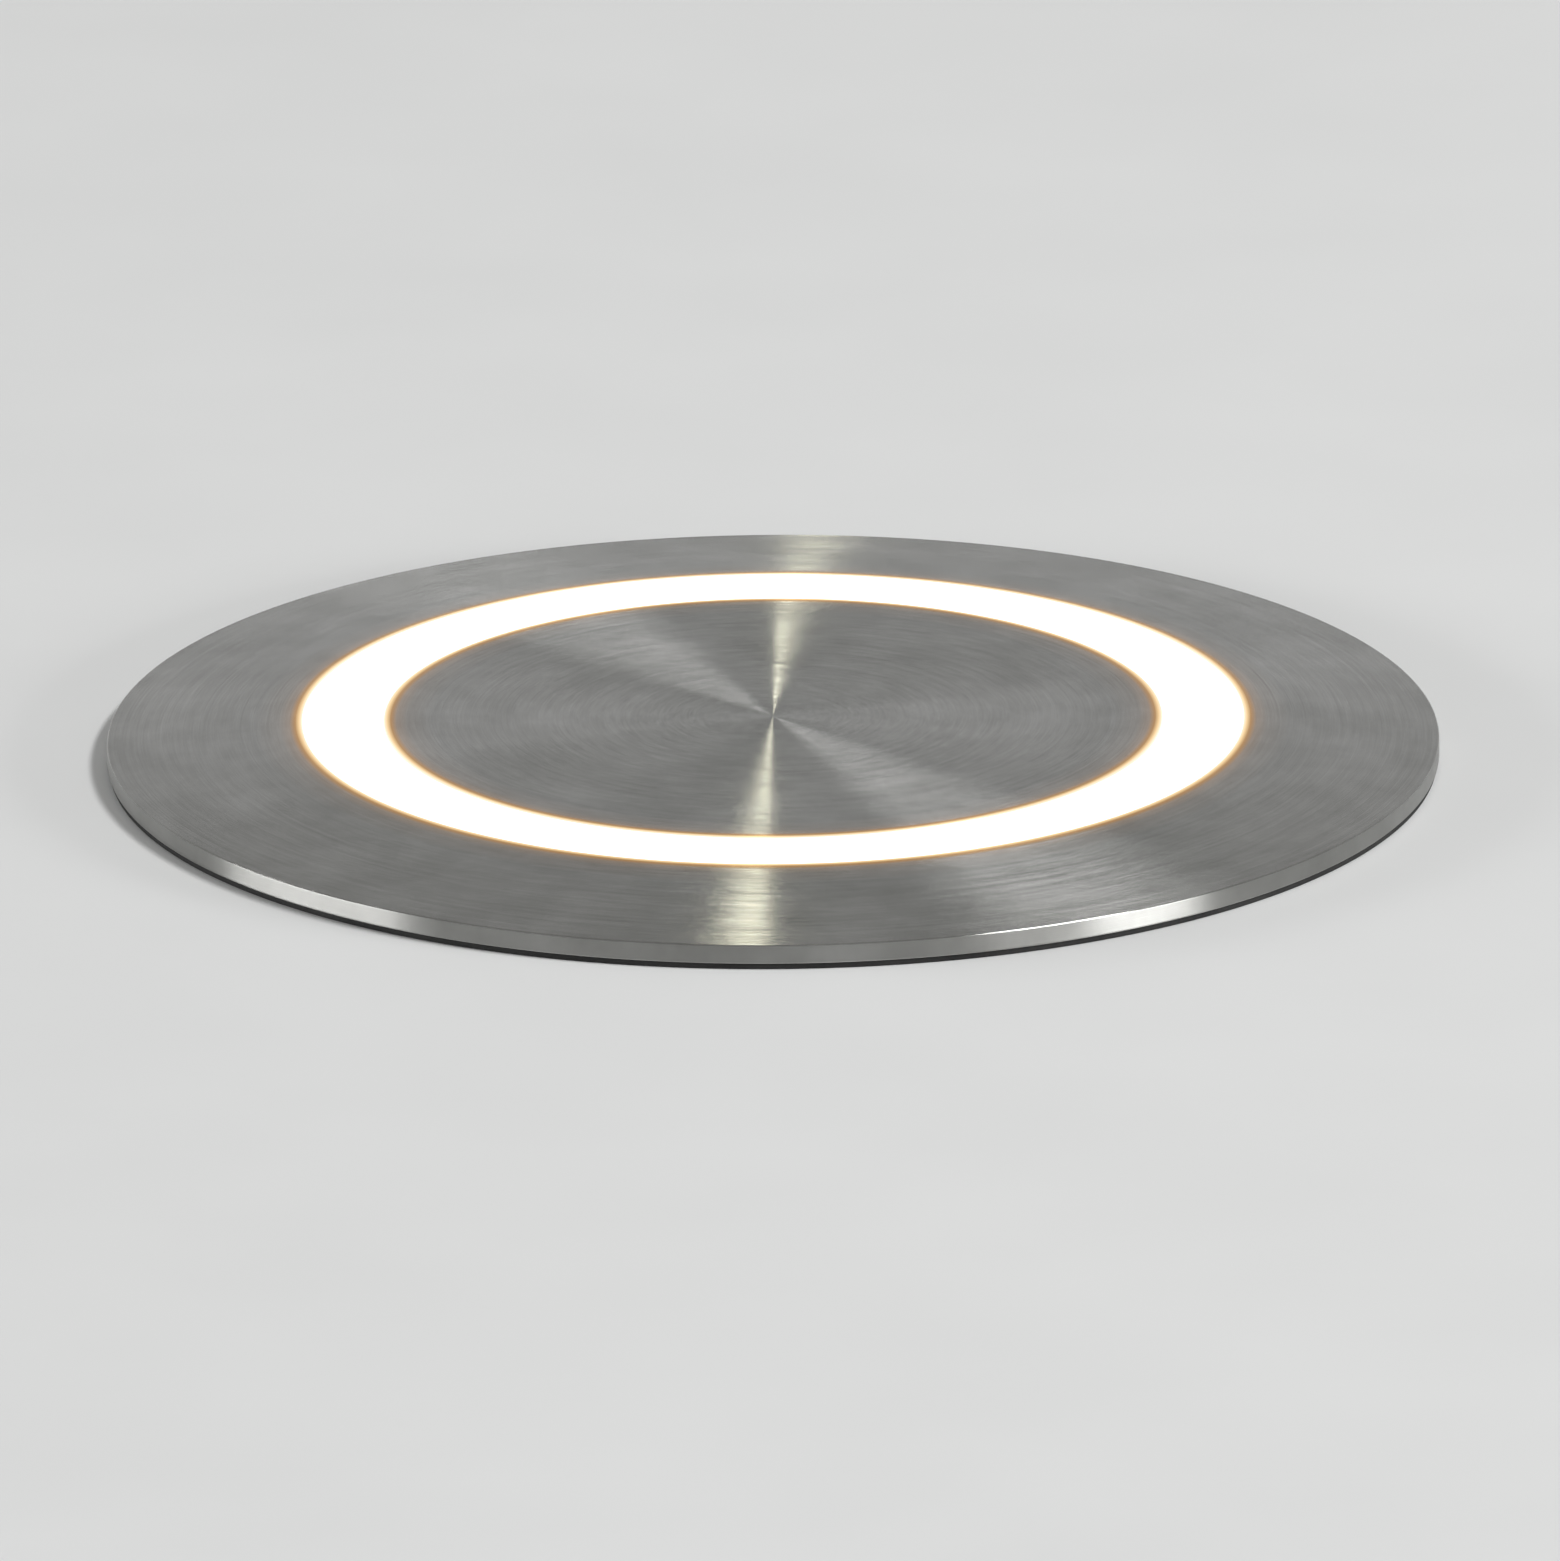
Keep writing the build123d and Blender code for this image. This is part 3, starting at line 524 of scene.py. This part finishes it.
def eased(section, radius, steps=3):
    """Rounds each corner of a closed (r, z) section by a small radius.

    One more point on each side of the arc keeps the shading of the flats beside it flat.
    """
    rounded = []
    count = len(section)
    for i, corner in enumerate(section):
        here = Vector(corner)
        to_before, to_after = Vector(section[i - 1]) - here, Vector(section[(i + 1) % count]) - here
        half_angle = to_before.angle(to_after) / 2
        if here.x < ON_AXIS or half_angle > NEARLY_STRAIGHT:
            rounded.append(tuple(here))
            continue
        longest_reach = MOST_OF_A_SIDE * min(to_before.length, to_after.length)
        reach = min(radius / tan(half_angle), longest_reach)
        to_before.normalize()
        to_after.normalize()
        centre = here + (to_before + to_after).normalized() * reach / cos(half_angle)
        start, end = here + to_before * reach, here + to_after * reach
        turn = (start - centre).angle_signed(end - centre)
        rounded.append(tuple(here + to_before * reach * GUARD))
        for step in range(steps + 1):
            spoke = (start - centre).copy()
            spoke.rotate(Matrix.Rotation(-turn * step / steps, 2))
            rounded.append(tuple(centre + spoke))
        rounded.append(tuple(here + to_after * reach * GUARD))
    return rounded


print("sections can be eased")

# %% [markdown]
# ## A lathe in code
#
# The tidiest way to model a turned piece is the way it is made: draw half of its section
# once and take it round the axis. `lathe_mesh` sets a ring of corners at each point of the
# section, and bridges ring to ring.

# %% Lathe helpers
AROUND = 288


def ring_at(made, r, z, around=AROUND):
    """Corners of a circle about Z; on the axis all of them are one and the same."""
    if r < ON_AXIS:
        return [made.verts.new((0, 0, z))] * around
    turns = [2 * pi * k / around for k in range(around)]
    return [made.verts.new((r * cos(t), r * sin(t), z)) for t in turns]


def bridge(made, ring, following):
    """Faces from one ring of corners to the next."""
    around = len(ring)
    for k in range(around):
        corners = [ring[k], ring[(k + 1) % around], following[(k + 1) % around], following[k]]
        corners = list(dict.fromkeys(corners))
        if len(corners) > 2:
            made.faces.new(corners)


def lathe_mesh(section):
    """A closed mesh of revolution about Z; points on the axis become single corners."""
    made = bmesh.new()
    rings = [ring_at(made, r, z) for r, z in section]
    for ring, following in zip(rings, rings[1:] + rings[:1]):
        bridge(made, ring, following)
    return made


print("one full turn has", AROUND, "steps")

# %% [markdown]
# ## From mesh to piece
#
# A mesh becomes a piece of the light once it has a finish, crisp edges where two faces meet
# at an angle, and a body to ride on.

# %% Finish a piece
CRISP = radians(28)


def mark_crisp_edges(mesh_in_progress):
    for face in mesh_in_progress.faces:
        face.smooth = True
    for edge in mesh_in_progress.edges:
        if len(edge.link_faces) == 2:
            edge.smooth = edge.calc_face_angle() < CRISP


def to_object(mesh_in_progress, name, finish, body, replaced=()):
    """Turns a bmesh into a finished piece that rides on its body and stands for its node."""
    bmesh.ops.recalc_face_normals(mesh_in_progress, faces=mesh_in_progress.faces)
    mark_crisp_edges(mesh_in_progress)
    mesh = bpy.data.meshes.new(name)
    mesh_in_progress.to_mesh(mesh)
    mesh_in_progress.free()
    mesh.materials.append(FINISHES[finish])
    piece = bpy.data.objects.new(name, mesh)
    bpy.context.collection.objects.link(piece)
    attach(piece, body)
    if replaced:
        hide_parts(*replaced)
    print(f"{name}: {len(mesh.polygons)} faces")


print("edges over", round(CRISP / radians(1)), "degrees stay crisp")

# %% [markdown]
# ## The stainless face
#
# Two pieces show: a coned trim ring, whose skirt screws onto the housing, and a flat
# centre disc with a stud welded under it. Both are one closed section each. The rim is
# almost sharp, with a 0.15 mm radius, and a slow cone runs up to the lit ring.

# %% Trim ring and centre disc
EDGE = 0.15 * MM
trim_section = [
    (LIT_OUTER_R, FACE_Z), (FLANGE_R, RIM_TOP_Z), (FLANGE_R, GASKET_TOP_Z), (SKIRT_R, GASKET_TOP_Z),
    (SKIRT_R, SKIRT_BOTTOM_Z), (SKIRT_BORE_R, SKIRT_BOTTOM_Z), (SKIRT_BORE_R, LAND_Z), (LIT_OUTER_R, LAND_Z),
]
disc_section = [
    (0, FACE_Z), (DISC_R, FACE_Z), (DISC_R, WEB_TOP_Z), (STUD_R, WEB_TOP_Z), (STUD_R, STUD_END_Z),
    (0, STUD_END_Z),
]
to_object(
    lathe_mesh(eased(trim_section, EDGE)), "face_trim_ring", "turned_stainless", "luminaire",
    ["trim_ring"],
)
to_object(
    lathe_mesh(eased(disc_section, EDGE)), "face_centre_disc", "turned_stainless", "luminaire",
    ["centre_disc"],
)

# %% [markdown]
# ## The lit ring and the ground gasket
#
# The diffuser's raised ring stands flush with the steel, a tenth of a millimetre clear
# on each side. Below the flange a black rubber washer meets the paving: from above it is
# only the thin dark line that grounds the whole light, and that black line under the rim
# also stands in for the contact shadow there, as painted shade.

# %% Diffuser and gasket
OPAL_EDGE, GASKET_EDGE, SOFT_STEPS = 0.06 * MM, 0.12 * MM, 2
GASKET_BORE_R = SKIRT_R + 0.3 * MM
diffuser_section = [
    (STUD_R + RING_GAP, WEB_BOTTOM_Z), (DIFFUSER_R, WEB_BOTTOM_Z), (DIFFUSER_R, LAND_Z),
    (LIT_OUTER_R - RING_GAP, LAND_Z), (LIT_OUTER_R - RING_GAP, FACE_Z), (DISC_R + RING_GAP, FACE_Z),
    (DISC_R + RING_GAP, WEB_TOP_Z), (STUD_R + RING_GAP, WEB_TOP_Z),
]
to_object(
    lathe_mesh(eased(diffuser_section, OPAL_EDGE, SOFT_STEPS)), "opal_diffuser", "opal", "luminaire",
    ["diffuser"],
)
# the black washer is a real part, and its dark line under the rim also stands in for painted contact shadow
gasket_section = [
    (GASKET_BORE_R, 0), (GASKET_R, 0), (GASKET_R, GASKET_TOP_Z), (GASKET_BORE_R, GASKET_TOP_Z),
]
to_object(
    lathe_mesh(eased(gasket_section, GASKET_EDGE, SOFT_STEPS)), "ground_gasket_ring", "black_rubber",
    "luminaire", ["ground_gasket"],
)

# %% [markdown]
# ## Torsion springs
#
# Each clip leaf is pushed outwards by a small spring of round wire: two and a half turns
# round the hinge pin, one leg lying along the leaf and the other resting on the bracket.
# When the leaf swings in, the leg on the leaf has to go with it while the other stays.
# Because the leaf turns about the coil's own axis, the wire can be cut in mid-coil: one
# half rides on the leaf's body and the other on the light. The halves overlap by a fifth
# of a turn, so no gap opens, and at the leaf's full swing of ten degrees the helices are
# only three hundredths of a millimetre apart. The wire itself is a circle carried along a
# path, turned at each point to stay square.

# %% Wire along a path
def corner_rounded(before, corner, after, radius, steps=8):
    """Points of the arc that rounds one corner of a path."""
    to_before, to_after = (before - corner).normalized(), (after - corner).normalized()
    half_angle = to_before.angle(to_after) / 2
    centre = corner + (to_before + to_after).normalized() * radius / sin(half_angle)
    start = (corner + to_before * radius / tan(half_angle) - centre).normalized()
    end = (corner + to_after * radius / tan(half_angle) - centre).normalized()
    return [centre + start.slerp(end, step / steps) * radius for step in range(steps + 1)]


def wire_mesh(path, radius, sides=20):
    """A closed round wire whose section stays square to the path."""
    made = bmesh.new()
    rings = []
    across = (path[1] - path[0]).orthogonal().normalized()
    for i, point in enumerate(path):
        along = (path[min(i + 1, len(path) - 1)] - path[max(i - 1, 0)]).normalized()
        across = (across - along * across.dot(along)).normalized()
        other = along.cross(across)
        turns = [2 * pi * k / sides for k in range(sides)]
        rings.append([made.verts.new(point + (across * cos(t) + other * sin(t)) * radius) for t in turns])
    for ring, following in zip(rings, rings[1:]):
        bridge(made, ring, following)
    made.faces.new(rings[0][::-1])
    made.faces.new(rings[-1])
    return made


print("wire helpers ready")

# %% [markdown]
# ## The spring's sizes
#
# The coil sits round the hinge pin, so its place is read from the joint in the record. Its
# legs have to lie on other pieces: one on the inner side of the leaf, the other on the
# bracket's face. `leaf_line` finds the leaf's straight middle line, which starts beside the
# pin's eye and touches the round of the knee below, so that the leg can follow it.

# %% Spring sizes
joints = {joint["name"]: joint for joint in frame["record"]["behaviour"]["joints"]}
PIN = Vector(joints["clip_right_hinge"]["pos_m"])
WIRE_R, COIL_R, TURN_PITCH, HALF_TURNS = 0.35 * MM, 1.5 * MM, 1.2 * MM, 5
LEAF_T, EYE_BORE_R = 0.8 * MM, 1.05 * MM
SLEEVE_BORE_R, WALL_CLEARANCE = 46.5 * MM, 0.45 * MM
KNEE_R, KNEE_Z = 2.5 * MM, -29.5 * MM
BRACKET_FACE_X, LEG_END_Z = 37.5 * MM, -27.0 * MM
LEG_GAP, LEAF_BEND_R = 0.05 * MM, 1.5 * MM
REST_BEND_R, REST_DROP = 3.0 * MM, 2.5 * MM


def coil(first_half, last_half, steps=16):
    """Points of the helix from one half turn to another; whole numbers lie level with the pin."""
    count = round((last_half - first_half) * steps)
    halves = [first_half + (last_half - first_half) * i / count for i in range(count + 1)]
    return [
        PIN + Vector((COIL_R * cos(pi * h), (h - HALF_TURNS / 2) * TURN_PITCH / 2, COIL_R * sin(pi * h)))
        for h in halves
    ]


def leaf_line():
    """Start of the leaf's straight middle line, and its direction down to where it meets the knee."""
    start = Vector((PIN.x + EYE_BORE_R + LEAF_T / 2, PIN.z))
    knee = Vector((SLEEVE_BORE_R - WALL_CLEARANCE - LEAF_T / 2 - KNEE_R, KNEE_Z))
    to_start = start - knee
    angle = atan2(to_start.y, to_start.x) - acos(KNEE_R / to_start.length)
    touch = knee + KNEE_R * Vector((cos(angle), sin(angle)))
    return start, (touch - start).normalized()


print(f"coil of {HALF_TURNS / 2} turns, {2 * COIL_R / MM:.1f} mm across, of {2 * WIRE_R / MM:.1f} mm wire")

# %% [markdown]
# ## Build the springs
#
# Each half is one path: a leg, a rounded bend, and its share of the coil. The left clip is
# the right one turned half round, so both sides are made from the same two paths.

# %% Build the springs
start, along = leaf_line()
inner_side = start + Vector((along.y, -along.x)) * (LEAF_T / 2 + WIRE_R + LEG_GAP)
coil_first, coil_last = coil(0, HALF_TURNS)[0], coil(0, HALF_TURNS)[-1]
bend_z = inner_side.y + along.y / along.x * (coil_first.x - inner_side.x)
leg_end_x = inner_side.x + along.x / along.y * (LEG_END_Z - inner_side.y)
bend = Vector((coil_first.x, coil_first.y, bend_z))
leg_end = Vector((leg_end_x, coil_first.y, LEG_END_Z))
rest_bend = Vector((coil_last.x, coil_last.y, PIN.z - REST_DROP))
rest_end = Vector((BRACKET_FACE_X + WIRE_R, coil_last.y, LEG_END_Z))
MIDDLE, OVERLAP = HALF_TURNS / 2, 0.2
leaf_bend = corner_rounded(leg_end, bend, coil_first, LEAF_BEND_R)
fixed_bend = corner_rounded(coil_last, rest_bend, rest_end, REST_BEND_R)
leaf_half = [leg_end, *leaf_bend, *coil(0, MIDDLE + OVERLAP)]
fixed_half = [*coil(MIDDLE - OVERLAP, HALF_TURNS), *fixed_bend, rest_end]
SIDES = (("right", Matrix.Identity(4)), ("left", Matrix.Rotation(pi, 4, "Z")))
for side, turn in SIDES:
    for half, path, body in (("leaf", leaf_half, f"clip_{side}"), ("fixed", fixed_half, "luminaire")):
        wire = wire_mesh([turn @ point for point in path], WIRE_R)
        to_object(wire, f"spring_{side}_{half}_half", "spring_steel", body, ["clip_springs"])

# %% [markdown]
# ## Clip screws
#
# The brackets are held by a pan-headed screw each. A hexagon socket is the part of such a
# head that catches the eye, so the head is turned first and the socket is then sunk into
# its flat top: six points joined to the head's edge, and the same six again at the bottom.

# %% Socket-headed clip screws
HEAD_R, HEAD_T, SHANK_R, SHANK_END_X = 2.0 * MM, 1.3 * MM, 1.0 * MM, 34.3 * MM
SOCKET_R, SOCKET_DEPTH, SOCKET_CORNERS = 1.1 * MM, 0.8 * MM, 6
SHOULDER, SHOULDER_MIDDLE = 0.35 * MM, 0.12 * MM
CLIP_SCREW_Z = -29.8 * MM


def socket_screw_mesh(around=48):
    """Screw along +Z with its head's underside at z = 0 and a hexagon socket in the top."""
    section = [
        (SHANK_R, SHANK_END_X - BRACKET_FACE_X), (SHANK_R, 0), (HEAD_R, 0), (HEAD_R, HEAD_T - SHOULDER),
        (HEAD_R - SHOULDER_MIDDLE, HEAD_T - SHOULDER_MIDDLE), (HEAD_R - SHOULDER, HEAD_T),
    ]
    made = bmesh.new()
    rings = [ring_at(made, r, z, around) for r, z in section]
    for ring, following in zip(rings, rings[1:]):
        bridge(made, ring, following)
    made.faces.new(rings[0][::-1])
    corners = ring_at(made, SOCKET_R, HEAD_T, SOCKET_CORNERS)
    floor_corners = ring_at(made, SOCKET_R, HEAD_T - SOCKET_DEPTH, SOCKET_CORNERS)
    edge, share = rings[-1], around // SOCKET_CORNERS
    for k in range(SOCKET_CORNERS):
        after = (k + 1) % SOCKET_CORNERS
        arc = [edge[(k * share + i) % around] for i in range(share + 1)]
        made.faces.new([corners[k], *arc, corners[after]])
        made.faces.new([corners[after], floor_corners[after], floor_corners[k], corners[k]])
    made.faces.new(floor_corners)
    return made


for side, turn in SIDES:
    screw = socket_screw_mesh()
    seat = Matrix.Translation((BRACKET_FACE_X, 0, CLIP_SCREW_Z)) @ Matrix.Rotation(pi / 2, 4, "Y")
    screw.transform(turn @ seat)
    to_object(screw, f"clip_screw_{side}", "zinc_steel", "luminaire", ["clip_screws"])

# %% [markdown]
# ## Ease the edges of the solids that stay
#
# Castings, bent sheet and mouldings have no knife edges either. Rebuilding each of them
# would be wasteful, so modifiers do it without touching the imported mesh: Weld closes
# the seams between its faces, a planar Decimate joins flat triangles to whole faces, and
# Bevel then has clean edges to round. A fourth, Weighted Normal, shades the result so that
# the large faces stay flat and only the narrow rounded strips carry the bend.

# %% Modifiers that ease edges
SEAM = 0.001 * MM
FLAT_WITHIN, SHARP_BEYOND = radians(0.05), radians(35)


def ease_edges(solid, width_mm):
    solid.modifiers.new("closed seams", "WELD").merge_threshold = SEAM
    whole_faces = solid.modifiers.new("whole faces", "DECIMATE")
    whole_faces.decimate_type, whole_faces.angle_limit = "DISSOLVE", FLAT_WITHIN
    rounded = solid.modifiers.new("eased edges", "BEVEL")
    rounded.width, rounded.segments = width_mm * MM, 2
    rounded.limit_method, rounded.angle_limit = "ANGLE", SHARP_BEYOND
    solid.modifiers.new("large faces stay flat", "WEIGHTED_NORMAL").keep_sharp = True


EASED_MM = {
    "housing": 0.25, "mounting_sleeve": 0.25, "base_cover": 0.2, "base_screws": 0.15,
    "clip_leaf_right": 0.12, "clip_leaf_left": 0.12, "clip_brackets": 0.12, "clip_pins": 0.15,
    "gland_body": 0.2, "gland_locknut": 0.2, "gland_cap_nut": 0.3, "gland_seal": 0.1,
    "stud_nut": 0.15, "terminal_block": 0.15, "driver_capacitors": 0.3, "driver_inductor": 0.15,
    "driver_chips": 0.1, "driver_board": 0.08, "driver_spacers": 0.1, "led_chips": 0.08,
}
for name, width_mm in EASED_MM.items():
    ease_edges(nodes_of_frame[name], width_mm)
print("eased", len(EASED_MM), "solids")

# %% [markdown]
# ## Floor
#
# The light stands flush in a plain pale floor. The floor is a flat ring with a hole that
# just clears the sleeve's lip, so the buried parts really are below ground, and a light
# that is lifted out shows its housing and leaves a proper hole behind.

# %% Floor with a hole for the sleeve
FLOOR_R, HOLE_R = 12.0, SLEEVE_LIP_R + 0.05 * MM
FLOOR_COLOUR, FLOOR_PATCH_MM = (0.765, 0.77, 0.77), 30.0
DARKER, PALER = 0.985, 1.01


def pale_floor():
    material, tree, shader = finish_of("pale_floor", Roughness=0.9, Specular_IOR_Level=0.0)
    dark, pale = ([shade * c for c in FLOOR_COLOUR] for shade in (DARKER, PALER))
    colour = two_tone(tree, mottle(tree, FLOOR_PATCH_MM), dark, pale)
    tree.links.new(colour, shader.inputs["Base Color"])
    return material


floor_mesh = bmesh.new()
floor_rings = [ring_at(floor_mesh, r, 0) for r in (HOLE_R, 3 * HOLE_R, 12 * HOLE_R, FLOOR_R)]
for inner, outer in zip(floor_rings, floor_rings[1:]):
    bridge(floor_mesh, outer, inner)
floor_data = bpy.data.meshes.new("floor")
floor_mesh.to_mesh(floor_data)
floor_mesh.free()
floor_data.materials.append(pale_floor())
floor = bpy.data.objects.new("floor", floor_data)
bpy.context.collection.objects.link(floor)
print(f"floor hole {2 * HOLE_R / MM:.1f} mm across")

# %% [markdown]
# ## Studio light
#
# Five lamps and a soft sky. On turned steel each lamp becomes a spoke whose direction
# lies halfway between the lamp and the camera, so the lamps' places are read back from
# the photograph's spokes: a soft lamp behind gives the diagonal one, and a narrow strip
# behind gives the thin upright one. The rim's two highlights are lamps seen the same way,
# low down and far off, so that they light the floor evenly and not in a pool. No place for
# the key suits every view: a camera low behind the light sees it in the turned face as a
# white wedge.

# %% Lamps and sky
NEAR, FAR = 2.6, 6.0
STRIP_COLOUR = (1.0, 0.97, 0.76)


def lamp(name, azimuth, elevation, distance, size, watts, colour=(1, 1, 1)):
    """An area lamp aimed at the face. Azimuth 0 is the camera's side, 90 is the right."""
    data = bpy.data.lights.new(name, "AREA")
    data.shape = "RECTANGLE"
    data.size, data.size_y = size
    data.energy, data.color = watts, colour
    towards = Vector((
        sin(radians(azimuth)) * cos(radians(elevation)),
        -cos(radians(azimuth)) * cos(radians(elevation)),
        sin(radians(elevation)),
    ))
    made = bpy.data.objects.new(name, data)
    made.location = towards * distance
    made.rotation_mode = "QUATERNION"
    made.rotation_quaternion = towards.to_track_quat("Z", "Y")
    bpy.context.collection.objects.link(made)


lamp("key_above_right", 66, 53, NEAR, (1.0, 0.4), 39.5)
lamp("rim_front_right", 66, 10, FAR, (1.95, 0.92), 165.0)
lamp("soft_back_right", 167.5, 45, NEAR, (0.18, 0.60), 0.86)
lamp("strip_behind", 181.3, 52, NEAR, (0.045, 1.0), 1.0, STRIP_COLOUR)
lamp("fill_left", -85, 9, FAR, (4.2, 0.83), 185.0)

world = bpy.data.worlds.new("studio")
bpy.context.scene.world = world
world.use_nodes = True
sky = world.node_tree
direction = add_node(sky, "ShaderNodeTexCoord").outputs["Generated"]
sky_colour = between(
    sky, z_of(sky, direction), (0.0, (0.50, 0.50, 0.50)), (0.30, (0.36, 0.36, 0.36)),
    (0.55, (0.27, 0.27, 0.265)), (0.9, (0.22, 0.22, 0.215)),
)
sky.links.new(sky_colour, sky.nodes["Background"].inputs["Color"])
sky.nodes["Background"].inputs["Strength"].default_value = 1.0
bpy.context.scene.view_settings.view_transform = "Standard"
print("five lamps and a sky")
